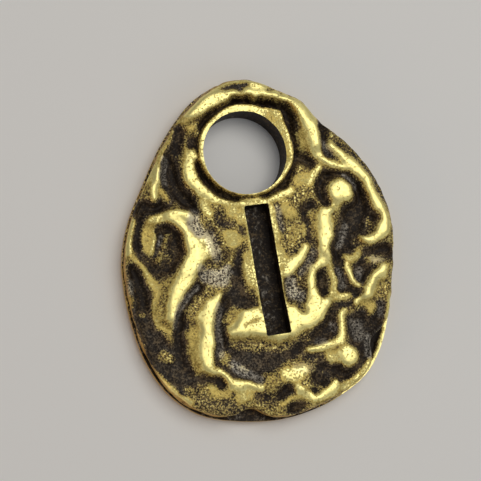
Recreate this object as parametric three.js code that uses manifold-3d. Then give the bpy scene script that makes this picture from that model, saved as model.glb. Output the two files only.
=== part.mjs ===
// A cast brass token, pebble shaped, in two layers that are joined for good: a thin flat back plate,
// and over it a lumpy face casting with a round hanging bore and a long bar-shaped window.
// Millimetres. The back lies on Z = 0, the face looks along +Z, and the bore is towards +Y.
// The origin is the middle of the token's outline, on the back.
import * as THREE from "three";
import { mergeVertices } from "three/addons/utils/BufferGeometryUtils.js";
import Module from "manifold-3d";

// Driving dimensions.
const tokenWidth = 27.3;
const tokenHeight = 33.5;
const plateThickness = 0.8;
const plateChamfer = 0.12;
const faceMargin = 0.18; // the face casting stops this far inside the plate's edge
const boreDiameter = 8.3;
const boreTopWall = 3.5; // from the top of the token to the bore
const boreOffset = -0.4; // the bore sits a little left of the middle line
const collarWall = 0.45; // the raised ring round the bore
const moatWidth = 0.55; // the groove round that ring
const slotWidth = 2.45;
const slotLength = 12.8;
const slotGap = 1.0; // from the bore down to the slot
const slotLean = 1.2; // degrees that the slot's foot swings to the right
const slotCorner = 0.2;
const slotLip = 0.5; // the burnished border of the slot
const edgeRise = 0.7; // height of the face's outer wall above the plate
const edgeRound = 1.0; // how far in from the edge the face rolls over

// Levels of the face above the plate, from the bottom of a pit to the highest rim.
const pit = 0.45;
const low = 0.8;
const mid = 1.35;
const high = 1.85;
const crest = 2.2;

// Fineness of the mesh.
const outlineSteps = 112;
const boreSteps = 56;
const reliefColumns = 46;
const reliefRows = 56;
const evening = 0.35; // the relief is averaged this far to each side
const curveSteps = 6; // straight steps between two points of a stroke

// The outline and the strokes are drawn on a blank of this size, and follow the token's own size.
const drawnWidth = 27.3;
const drawnHeight = 33.5;
const place = ([x, y]) => new THREE.Vector2((x * tokenWidth) / drawnWidth, (y * tokenHeight) / drawnHeight);

const outlinePoints = [
  [0.6, 16.75], [-1.8, 16.4], [-4.4, 15.1], [-6.6, 13.0], [-8.6, 10.4], [-10.4, 7.4], [-12.2, 4.2],
  [-13.4, 0.8], [-13.65, -2.4], [-13.4, -6.0], [-12.6, -9.6], [-10.9, -12.9], [-8.1, -15.3],
  [-4.4, -16.4], [-0.4, -16.75], [3.2, -16.2], [6.2, -15.1], [8.8, -13.5], [10.6, -11.2],
  [11.9, -8.2], [12.8, -4.8], [13.5, -1.4], [13.65, 1.4], [13.1, 4.5], [11.9, 7.2], [9.9, 9.9],
  [7.9, 11.8], [6.4, 14.0], [4.0, 15.4], [2.2, 16.4],
];

// Where the face casting falls short of the plate: share of the way round from the top, through the
// left side, then the half length of the gap along the edge and its greatest depth.
const edgeGaps = [
  [0.34, 5.0, 0.25],
  [0.463, 1.6, 1.1],
  [0.628, 3.4, 0.7],
];

const boreRadius = boreDiameter / 2;
const boreX = boreOffset;
const boreY = tokenHeight / 2 - boreTopWall - boreRadius;
const slotTop = boreY - boreRadius - slotGap;
const slotBottom = slotTop - slotLength;
const leaned = (point) => point.rotateAround(new THREE.Vector2(0, slotTop), THREE.MathUtils.degToRad(slotLean));
const moatRadius = boreRadius + collarWall + moatWidth / 2;

// An arc round the bore, in degrees from +X. It is not drawn on the blank, so it stays round.
function boreArc(radius, from, to) {
  const steps = Math.max(2, Math.ceil(Math.abs(to - from) / 20));
  return Array.from({ length: steps + 1 }, (_, i) => {
    const angle = THREE.MathUtils.degToRad(from + ((to - from) * i) / steps);
    return new THREE.Vector2(boreX + radius * Math.cos(angle), boreY + radius * Math.sin(angle));
  });
}

// One stroke brings the face to a level along its path, over a half width. Later strokes lie on top.
const drawn = (level, half, ...points) => ({ level, half, path: points.map(place) });
const round = (level, half, path) => ({ level, half, path });

const valleys = [
  drawn(low, 0.7, [-10.4, 5.2], [-11.6, 4.2], [-12.3, 2.2], [-12.4, 0.6]),
  drawn(pit, 0.8, [-12.6, -0.8], [-12.3, -2.8], [-12.5, -5.4], [-12.2, -7.6], [-11.4, -9.0]),
  drawn(low, 1.5, [-11.0, -8.6], [-10.0, -10.2], [-9.0, -12.2]),
  drawn(low, 0.9, [-8.4, 2.2], [-8.3, 0.9], [-9.2, -0.6], [-10.0, -1.4]),
  drawn(low, 0.6, [-2.0, -0.6], [-2.8, -2.6], [-3.8, -4.8]),
  drawn(low, 0.5, [-7.0, -3.1], [-8.3, -4.3], [-9.1, -5.9], [-9.1, -7.2]),
  drawn(low, 0.6, [-4.6, -4.8], [-5.3, -6.6], [-5.5, -8.8], [-5.2, -10.4], [-3.6, -11.4]),
  drawn(low, 0.9, [-4.0, -11.0], [-1.2, -11.0], [1.6, -10.6], [4.0, -9.2], [6.4, -7.4]),
  drawn(low, 1.1, [5.6, -13.2], [7.6, -12.8], [8.7, -10.6], [8.8, -8.4], [10.4, -7.0]),
  drawn(low, 0.7, [7.8, 1.4], [7.3, -1.2], [7.3, -3.4], [7.6, -5.4]),
  drawn(pit, 1.4, [10.0, 4.0], [9.6, 2.0], [9.0, -0.2]),
  drawn(low, 0.8, [11.3, -2.3], [9.4, -3.6]),
  drawn(low, 0.5, [7.5, 11.4], [7.9, 10.0], [7.7, 8.6], [9.3, 7.3]),
  drawn(low, 0.4, [6.8, 4.6], [7.2, 6.3], [8.8, 6.6], [10.2, 5.6]),
  drawn(low, 0.5, [4.7, 10.2], [4.9, 8.2], [6.2, 7.4]),
  drawn(low, 1.0, [5.6, -3.9], [5.6, -4.6]),
  drawn(low, 0.35, [5.1, 3.2], [4.8, 0.8]),
];

const ridges = [
  drawn(mid, 0.4, [-9.6, 8.4], [-9.6, 6.2]),
  drawn(high, 0.5, [-6.9, 3.6], [-9.2, 3.6], [-10.9, 2.6], [-11.3, 1.0]),
  drawn(high, 0.8, [-7.3, 2.8], [-6.6, 0.8], [-7.4, -1.4], [-8.6, -3.1], [-9.6, -4.8], [-10.1, -6.6]),
  drawn(mid, 0.8, [-10.4, -3.4], [-10.7, -6.0]),
  drawn(high, 1.0, [-5.6, -4.8], [-6.7, -6.6], [-7.2, -8.6], [-7.5, -10.2], [-7.1, -11.8]),
  drawn(high, 1.2, [-3.8, -8.0], [-1.6, -7.4]),
  drawn(high, 0.7, [-1.4, -9.4], [1.8, -9.4]),
  drawn(high, 1.2, [2.4, -7.6], [4.6, -6.7]),
  drawn(high, 0.5, [4.2, -5.4], [4.4, -3.2], [5.9, -2.0]),
  drawn(high, 0.8, [6.4, 2.4], [6.1, 0.0], [6.0, -1.8]),
  drawn(high, 0.4, [4.7, -0.5], [3.2, -1.9], [1.9, -2.7]),
  drawn(high, 0.4, [-5.9, -11.6], [-5.0, -12.9], [-1.8, -13.6]),
  drawn(mid, 0.9, [0.4, -12.6], [3.0, -12.7]),
  drawn(high, 0.8, [6.7, -11.9], [7.2, -11.4]),
  drawn(mid, 0.3, [3.4, -10.6], [6.5, -10.2], [6.6, -8.2]),
  drawn(high, 0.5, [9.3, -6.1], [10.9, -4.7], [11.6, -3.9]),
  drawn(high, 1.2, [8.4, 4.6], [8.6, 4.6]),
  drawn(high, 0.5, [8.8, 8.8], [10.4, 6.9], [11.6, 5.0], [12.2, 3.0], [12.7, 1.5], [11.6, 0.0], [10.3, -0.6]),
  drawn(high, 0.3, [7.0, 8.3], [8.2, 7.2], [9.4, 6.7]),
  drawn(high, 0.6, [-5.7, 10.0], [-5.8, 8.0], [-4.9, 6.2], [-3.6, 4.6]),
  drawn(crest, 1.0, [-5.0, 13.3], [-3.2, 14.6], [-0.6, 15.3], [2.2, 15.2], [4.6, 14.3], [6.2, 12.6], [6.5, 9.6]),
];

const slotBorder = [
  [-1, 1, -1, -1],
  [1, 1, 1, -1],
  [-1, 1, 1, 1],
].map(([x0, y0, x1, y1]) =>
  round(mid, slotLip / 2, [[x0, y0], [x1, y1]].map(([x, y]) => leaned(new THREE.Vector2(
    (x * (slotWidth + slotLip)) / 2,
    (slotTop + slotBottom) / 2 + (y * (slotLength + slotLip)) / 2,
  )))),
);

const pits = [
  drawn(pit, 0.6, [-7.9, 9.4], [-7.3, 7.2], [-6.4, 4.9]),
  drawn(low, 0.5, [-6.7, 11.9], [-7.1, 10.4]),
  drawn(low, 0.4, [-9.6, 4.9], [-6.4, 4.3]),
];

const moat = [
  round(low, moatWidth / 2, boreArc(moatRadius, 150, 25)),
  round(low, moatWidth / 2, boreArc(moatRadius, 185, 275)),
  round(low, moatWidth / 2, boreArc(moatRadius, 295, 335)),
];

// The two layers' outlines.
const outlineCurve = new THREE.CatmullRomCurve3(
  outlinePoints.map(place).map((p) => new THREE.Vector3(p.x, p.y, 0)), true, "centripetal",
);
const plateOutline = outlineCurve.getSpacedPoints(outlineSteps).slice(0, outlineSteps)
  .map((p) => new THREE.Vector2(p.x, p.y));
const perimeter = outlineCurve.getLength();

function faceInset(share) {
  let inset = faceMargin;
  for (const [middle, halfLength, depth] of edgeGaps) {
    const along = ((share - middle) * perimeter) / halfLength;
    inset += depth * Math.exp(-along * along);
  }
  return inset;
}

const faceOutline = plateOutline.map((point, i) => {
  const before = plateOutline[(i + outlineSteps - 1) % outlineSteps];
  const after = plateOutline[(i + 1) % outlineSteps];
  const along = after.clone().sub(before).normalize();
  const inward = new THREE.Vector2(-along.y, along.x);
  return point.clone().addScaledVector(inward, faceInset(i / outlineSteps));
});

function distanceToSegment(x, y, a, b) {
  const dx = b.x - a.x;
  const dy = b.y - a.y;
  const t = THREE.MathUtils.clamp(((x - a.x) * dx + (y - a.y) * dy) / (dx * dx + dy * dy), 0, 1);
  return Math.hypot(x - a.x - t * dx, y - a.y - t * dy);
}

function distanceToPath(x, y, path) {
  let least = Infinity;
  for (let i = 1; i < path.length; i++)
    least = Math.min(least, distanceToSegment(x, y, path[i - 1], path[i]));
  return least;
}

const softEdge = 0.4; // a stroke fades out this far each side of its border
const strokes = [...valleys, ...ridges, ...pits, ...slotBorder, ...moat].map(({ level, half, path }) => ({
  level,
  half,
  path: path.length > 2 ? new THREE.SplineCurve(path).getPoints(curveSteps * (path.length - 1)) : path,
}));

// Level of the face above the plate at a point: the strokes, one over the other.
function faceLevel(x, y) {
  let level = mid;
  for (const stroke of strokes) {
    const distance = distanceToPath(x, y, stroke.path);
    const cover = 1 - THREE.MathUtils.smoothstep(distance, stroke.half - softEdge, stroke.half + softEdge);
    level += (stroke.level - level) * cover;
  }
  return level;
}

// Height of the face above the back: the level, evened out over a small square.
function faceHeight(x, y) {
  const offsets = [-evening, 0, evening];
  let level = 0;
  for (const dx of offsets) for (const dy of offsets) level += faceLevel(x + dx, y + dy) / 9;
  return plateThickness + level;
}

// Shapes for the extrusions.
function boreHole() {
  return new THREE.Path().absarc(boreX, boreY, boreRadius, 0, 2 * Math.PI, true);
}

function slotHole() {
  const half = slotWidth / 2;
  const r = slotCorner;
  return new THREE.Path()
    .absarc(half - r, slotTop - r, r, 0, Math.PI / 2)
    .absarc(-half + r, slotTop - r, r, Math.PI / 2, Math.PI)
    .absarc(-half + r, slotBottom + r, r, Math.PI, 1.5 * Math.PI)
    .absarc(half - r, slotBottom + r, r, 1.5 * Math.PI, 2 * Math.PI)
    .closePath();
}

function leanedSlotHole() {
  return new THREE.Path(slotHole().getPoints(3).map(leaned));
}

// The back plate, with both its rims chamfered and its widest line on the outline.
function backPlateGeometry() {
  const shape = new THREE.Shape(plateOutline);
  shape.holes.push(new THREE.Path(boreHole().getPoints(boreSteps)));
  return new THREE.ExtrudeGeometry(shape, {
    depth: plateThickness - 2 * plateChamfer,
    bevelThickness: plateChamfer,
    bevelSize: plateChamfer,
    bevelOffset: -plateChamfer,
    bevelSegments: 1,
  }).translate(0, 0, plateChamfer);
}

// A slab that covers the token, with the relief on its upper side.
function reliefGeometry() {
  const slab = new THREE.BoxGeometry(tokenWidth + 1, tokenHeight + 1, 1, reliefColumns, reliefRows, 1);
  const position = slab.getAttribute("position");
  for (let i = 0; i < position.count; i++) {
    const upper = position.getZ(i) > 0;
    position.setZ(i, upper ? faceHeight(position.getX(i), position.getY(i)) : plateThickness);
  }
  return slab;
}

// The raised ring round the bore, thick enough inside for the bore to be cut from it.
function collarGeometry() {
  const outer = boreRadius + collarWall;
  const inner = boreRadius - collarWall;
  const top = plateThickness + crest;
  const profile = [
    [inner, plateThickness], [outer + collarWall, plateThickness], [outer + collarWall / 2, top - 1],
    [outer, top - collarWall / 2], [outer - collarWall / 2, top], [inner, top], [inner, plateThickness],
  ].map(([r, z]) => new THREE.Vector2(r, z));
  return new THREE.LatheGeometry(profile, boreSteps).rotateX(Math.PI / 2).translate(boreX, boreY, 0);
}

const wasm = await Module();
wasm.setup();

function solidFrom(geometry) {
  const bare = geometry.clone();
  bare.deleteAttribute("normal");
  bare.deleteAttribute("uv");
  const merged = mergeVertices(bare, 1e-4);
  return new wasm.Manifold(new wasm.Mesh({
    numProp: 3,
    vertProperties: new Float32Array(merged.getAttribute("position").array),
    triVerts: new Uint32Array(merged.index.array),
  }));
}

function geometryFrom(solid) {
  const mesh = solid.getMesh();
  const geometry = new THREE.BufferGeometry();
  geometry.setAttribute("position", new THREE.BufferAttribute(new Float32Array(mesh.vertProperties), 3));
  geometry.setIndex(new THREE.BufferAttribute(new Uint32Array(mesh.triVerts), 1));
  geometry.computeVertexNormals();
  return geometry;
}

// A block with the face's outline, straight sided up to the edge rise and rolled over above it.
function edgeBlankGeometry() {
  return new THREE.ExtrudeGeometry(new THREE.Shape(faceOutline), {
    depth: crest,
    bevelThickness: crest - edgeRise + 0.1,
    bevelSize: edgeRound,
    bevelOffset: -edgeRound,
    bevelSegments: 4,
  }).translate(0, 0, plateThickness + edgeRise - crest);
}

function openingGeometry(hole, divisions) {
  return new THREE.ExtrudeGeometry(new THREE.Shape(hole.getPoints(divisions)), { depth: 3 * crest, bevelEnabled: false })
    .translate(0, 0, plateThickness - crest);
}

// The face casting: the relief slab and the collar, cut to their outline, bored, and pierced by the slot.
function faceCastingGeometry() {
  const solid = solidFrom(reliefGeometry())
    .add(solidFrom(collarGeometry()))
    .intersect(solidFrom(edgeBlankGeometry()))
    .subtract(solidFrom(openingGeometry(boreHole(), boreSteps)))
    .subtract(solidFrom(openingGeometry(leanedSlotHole(), 1)));
  return geometryFrom(solid);
}

const brass = new THREE.MeshStandardMaterial({ color: 0xc9b45a, roughness: 0.32, metalness: 1 });
const darkBrass = new THREE.MeshStandardMaterial({ color: 0x6b5d3a, roughness: 0.5, metalness: 1 });

const token = new THREE.Group();

const backPlate = new THREE.Mesh(backPlateGeometry(), darkBrass);
backPlate.name = "back_plate";
token.add(backPlate);

const faceCasting = new THREE.Mesh(faceCastingGeometry(), brass);
faceCasting.name = "face_casting";
token.add(faceCasting);

export default token;
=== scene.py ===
import math

import bpy
import numpy as np
from mathutils import Matrix, Vector


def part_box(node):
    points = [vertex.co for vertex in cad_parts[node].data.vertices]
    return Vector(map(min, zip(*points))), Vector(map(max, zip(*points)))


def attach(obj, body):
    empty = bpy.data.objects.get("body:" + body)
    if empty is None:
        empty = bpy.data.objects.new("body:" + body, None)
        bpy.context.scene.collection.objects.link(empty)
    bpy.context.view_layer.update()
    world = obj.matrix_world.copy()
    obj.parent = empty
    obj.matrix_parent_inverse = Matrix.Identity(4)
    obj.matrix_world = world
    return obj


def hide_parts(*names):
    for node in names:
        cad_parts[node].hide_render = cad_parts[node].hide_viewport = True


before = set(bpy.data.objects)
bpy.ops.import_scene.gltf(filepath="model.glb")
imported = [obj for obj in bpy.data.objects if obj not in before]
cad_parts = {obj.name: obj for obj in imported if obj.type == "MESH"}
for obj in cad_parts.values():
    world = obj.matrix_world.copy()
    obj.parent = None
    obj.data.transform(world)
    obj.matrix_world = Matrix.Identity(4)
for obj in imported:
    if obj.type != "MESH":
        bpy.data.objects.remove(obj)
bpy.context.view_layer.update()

# ---- sizes, in millimetres
MM = 0.001
PLATE_LOW, PLATE_HIGH = (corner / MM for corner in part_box("back_plate"))
PLATE_TOP = PLATE_HIGH.z

BORE_X = -0.4
BORE_Y = 9.1
BORE_RADIUS = 4.15
SLOT_HALF_WIDTH = 1.225
SLOT_TOP = 3.95
SLOT_BOTTOM = -8.85
SLOT_LEAN = math.radians(1.2)  # the slot's foot swings to the right
SLOT_CORNER = 0.2
FACE_MARGIN = 0.18  # the face stops this far inside the plate's edge
EDGE_ROLL = 0.8  # how far in the face's rim rolls over
ROLL_SEGMENTS = 5
FACE_VOXEL = 0.11
FACE_BLANK = 2.0  # height of the blank that the face is pressed from
BLANK_SPARE = 0.5  # what the blank has below the seam, sliced off at the end
PLATE_CELL = 0.25  # spacing of the plate's grid
PLATE_ROLL = 0.2  # radius of the plate's lower edge
PLATE_SEGMENTS = 3
SEAM_LOW = 0.62  # the plate's wall is dark from here up to the seam
PLATE_SPARE = 1.0  # how much wider the grid is than the plate
BLOCK_SPARE = 0.3  # how far the block that trims the grid stands above it
OUTLINE_MARKS = 224
BORE_STEPS = 160
CUT_SPARE = 1.0  # how far a cutter reaches past the plate
CUT_HIGH = 4.0  # and how far above the plate to clear the face
NEAR_CUT = 0.3  # how far round the bore and the slot counts as near them
SIDE_RUB = 0.42  # rub of the face's side wall
FLOOR_STEP = -5.2  # where the slot's floor steps down across it
TRENCH = (10.3, -10.9)  # the plate's top sinks here, in the right-hand gap
TRENCH_RADIUS = 2.0
TRENCH_DEPTH = 0.45

OUTLINE = [
    (0.6, 16.75), (-1.8, 16.4), (-4.4, 15.1), (-6.6, 13.0), (-8.6, 10.4), (-10.4, 7.4), (-12.2, 4.2),
    (-13.4, 0.8), (-13.65, -2.4), (-13.4, -6.0), (-12.6, -9.6), (-10.9, -12.9), (-8.1, -15.3),
    (-4.4, -16.4), (-0.4, -16.75), (3.2, -16.2), (6.2, -15.1), (8.8, -13.5), (10.6, -11.2),
    (11.9, -8.2), (12.8, -4.8), (13.5, -1.4), (13.65, 1.4), (13.1, 4.5), (11.9, 7.2), (9.9, 9.9),
    (7.9, 11.8), (6.4, 14.0), (4.0, 15.4), (2.2, 16.4),
]

# Where the face falls short of the plate: middle of the gap, its half length, its depth.
EDGE_GAPS = [
    ((-12.6, -9.2), 5.0, 0.06),
    ((-3.5, -16.5), 1.5, 1.0),
    ((10.6, -10.9), 1.8, 1.15),
]

# ---- the relief of the face
# A stroke presses the face to a level, in millimetres above the plate, along a line of points.
# Each point has its own half width. rub is how bright the metal is worn there, from 0 to 1.
BASE_LEVEL = 1.5
BASE_RUB = 0.42

GROUND = [
    # level, rub, points (x, y, half width)
    (1.6, 0.55, [(-5.7, 13.0, 0.7), (-5.7, 11.6, 0.8), (-6.2, 9.8, 0.7), (-6.3, 8.4, 0.6)]),
    (1.4, 0.33, [(-7.0, 9.2, 0.4), (-7.0, 7.6, 0.4), (-6.6, 6.2, 0.4)]),
    (1.7, 0.6, [(5.9, 10.3, 0.6), (6.1, 8.8, 0.7)]),
    (1.3, 0.35, [(-10.3, 6.6, 0.5), (-11.3, 5.3, 0.5)]),
    (1.2, 0.3, [(9.4, 9.2, 0.4), (11.2, 7.1, 0.4), (12.5, 5.0, 0.35), (13.1, 3.2, 0.25)]),
    (1.55, 0.4, [(-5.0, 4.2, 0.9), (-4.4, 2.2, 1.2), (-4.6, -0.4, 1.2)]),
    (1.55, 0.42, [(4.6, 5.4, 0.9), (4.4, 4.2, 0.9), (3.2, 2.4, 1.1), (2.6, 0.4, 1.0)]),
    (1.4, 0.4, [(-4.4, -2.4, 1.2), (-5.4, -3.2, 0.8)]),
    (1.0, 0.13, [(-3.0, -3.6, 0.6), (-3.1, -4.8, 0.8), (-2.2, -5.4, 0.5)]),
    (0.85, 0.12, [(-12.4, -5.4, 0.9), (-12.0, -7.4, 1.0), (-11.4, -9.0, 1.2), (-10.2, -11.0, 1.4),
                  (-9.4, -12.6, 1.0)]),
    (0.8, 0.09, [(-4.6, -5.0, 0.5), (-5.2, -6.4, 0.5), (-5.5, -8.0, 0.6), (-5.3, -9.8, 0.9),
                  (-4.2, -11.2, 1.1), (-2.8, -12.2, 0.7)]),
    (0.95, 0.12, [(-3.6, -10.6, 0.5), (-1.4, -11.2, 0.8), (0.6, -11.2, 0.6), (2.6, -10.2, 0.5)]),
    (0.85, 0.1, [(4.2, -9.7, 0.6), (5.6, -8.7, 0.6), (7.0, -6.9, 0.4), (7.9, -6.2, 0.3)]),
    (0.7, 0.06, [(5.0, -12.7, 0.4), (6.6, -13.3, 0.5), (8.0, -12.2, 0.8), (8.6, -10.2, 1.2),
                  (8.7, -8.8, 1.2), (10.8, -7.8, 0.9)]),
    (0.65, 0.04, [(7.2, 6.8, 0.4), (8.8, 6.1, 0.5), (10.2, 5.7, 0.6), (10.9, 4.6, 0.6), (10.9, 3.2, 0.6),
                  (9.8, 1.8, 1.1), (9.2, 0.4, 1.2), (8.2, -0.8, 0.9), (7.7, -2.2, 0.8)]),
    (0.8, 0.09, [(7.4, -3.2, 0.5), (7.5, -4.8, 0.6), (8.6, -5.6, 0.6), (9.6, -4.2, 0.8)]),
    (0.8, 0.12, [(12.4, -1.9, 0.5), (11.0, -2.0, 0.7), (9.9, -2.8, 0.8)]),
    (1.35, 0.42, [(0.8, -12.6, 1.1), (2.4, -12.6, 1.2), (3.6, -12.0, 0.6)]),
    (1.35, 0.42, [(1.4, -15.0, 0.8), (-1.0, -14.8, 0.9), (-3.6, -14.6, 0.9)]),
    (1.3, 0.3, [(-4.6, -15.0, 0.7), (-7.0, -14.5, 0.9), (-8.6, -13.8, 0.6)]),
]

HOLLOWS = [
    # the left valley and the pits above it
    (0.9, 0.04, [(-6.7, 12.1, 0.5), (-6.5, 11.3, 0.45)]),
    (0.85, 0.04, [(-7.2, 11.0, 0.4), (-7.1, 10.2, 0.45)]),
    (1.1, 0.1, [(-5.3, 11.0, 0.32), (-5.4, 10.4, 0.32)]),
    (0.55, 0.02, [(-7.9, 9.6, 0.25), (-7.8, 8.4, 0.45), (-7.6, 7.0, 0.6), (-7.2, 5.8, 0.6),
                  (-6.6, 4.9, 0.55), (-6.1, 4.3, 0.35)]),
    (0.7, 0.06, [(-8.6, 8.6, 0.35), (-8.5, 6.9, 0.5), (-8.6, 5.3, 0.5), (-9.6, 4.8, 0.4),
                  (-10.7, 5.0, 0.4), (-11.7, 4.2, 0.5), (-12.1, 2.8, 0.45), (-12.1, 1.4, 0.35),
                  (-11.5, 0.0, 0.3)]),
    # the oval hollow inside the leaf
    (0.7, 0.2, [(-8.2, 1.4, 0.65), (-8.4, 0.2, 0.75), (-9.2, -0.9, 0.8), (-10.0, -1.6, 0.6),
                  (-10.7, -1.0, 0.35), (-11.5, 0.0, 0.25)]),
    (0.65, 0.03, [(-9.7, 2.4, 0.25), (-8.6, 2.7, 0.3)]),
    (0.75, 0.05, [(-9.8, 1.9, 0.22), (-10.1, 1.0, 0.22), (-10.6, 0.3, 0.2)]),
    # the left edge
    (0.6, 0.02, [(-12.7, -0.8, 0.3), (-12.5, -2.4, 0.7), (-12.2, -3.8, 0.6), (-12.2, -5.0, 0.4)]),
    (0.75, 0.06, [(-6.9, -3.3, 0.3), (-7.9, -3.9, 0.4), (-8.7, -4.7, 0.45), (-9.2, -5.6, 0.4),
                  (-9.0, -6.8, 0.6), (-9.2, -8.0, 0.5), (-9.4, -9.6, 0.5), (-8.9, -11.2, 0.4)]),
    # left of the slot
    (1.05, 0.1, [(-2.1, -0.4, 0.15), (-2.5, -1.3, 0.25), (-2.9, -2.4, 0.4)]),
    (1.1, 0.28, [(-6.3, -1.5, 0.45), (-6.2, -2.5, 0.4)]),
    # right of the slot
    (1.0, 0.05, [(5.5, 3.3, 0.25), (4.9, 3.0, 0.28), (4.8, 2.0, 0.22), (4.7, 1.0, 0.25),
                  (4.8, 0.2, 0.25)]),
    (1.15, 0.2, [(2.4, -1.9, 0.2), (3.1, -1.3, 0.25), (3.9, -0.6, 0.25), (4.5, 0.0, 0.2)]),
    (1.1, 0.24, [(3.5, -3.2, 0.3), (4.2, -2.3, 0.28), (4.9, -1.4, 0.35), (5.2, -0.4, 0.25)]),
    (1.0, 0.34, [(2.3, -3.8, 0.55), (2.3, -4.9, 0.6), (3.1, -5.4, 0.45), (3.2, -4.2, 0.4)]),
    (0.85, 0.13, [(5.4, -3.5, 0.5), (5.3, -4.6, 0.6), (5.6, -5.3, 0.3)]),
    (1.15, 0.25, [(2.1, 3.5, 0.15), (2.1, 2.2, 0.15), (2.2, 1.1, 0.2)]),
    (1.2, 0.22, [(3.3, 1.9, 0.3), (2.6, 1.5, 0.3)]),
    # right shoulder
    (0.75, 0.04, [(7.9, 11.2, 0.45), (7.7, 10.2, 0.25), (7.6, 9.2, 0.3), (8.0, 8.3, 0.4),
                  (8.9, 7.5, 0.35),
                  (9.5, 7.1, 0.2)]),
    (0.9, 0.18, [(5.2, 8.2, 0.3), (6.2, 7.6, 0.35), (6.9, 7.1, 0.3)]),
    (0.9, 0.07, [(6.9, 7.1, 0.3), (7.2, 6.6, 0.4), (6.8, 5.5, 0.35), (6.7, 4.6, 0.3), (7.1, 3.3, 0.25)]),
    (0.75, 0.08, [(11.8, 1.5, 0.4), (12.3, 1.3, 0.2)]),
    # the foot
    (0.85, 0.05, [(0.5, -14.1, 0.4), (-0.3, -14.6, 0.35)]),
    (0.8, 0.06, [(3.6, -13.4, 0.5), (4.1, -13.6, 0.5)]),
    (0.75, 0.05, [(3.0, -14.7, 0.25), (3.3, -14.9, 0.25)]),
    (0.75, 0.1, [(0.5, -15.9, 0.4), (1.6, -15.4, 0.4)]),
    (1.05, 0.22, [(-2.3, -14.4, 0.45), (-1.4, -14.9, 0.4)]),
    (0.95, 0.1, [(-7.6, -12.3, 0.3), (-6.3, -12.4, 0.38), (-5.7, -12.9, 0.25)]),
    (0.8, 0.05, [(4.0, -12.2, 0.35), (5.2, -12.5, 0.35)]),
    (1.0, 0.2, [(2.8, -11.3, 0.3), (4.2, -11.4, 0.3)]),
]

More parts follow.
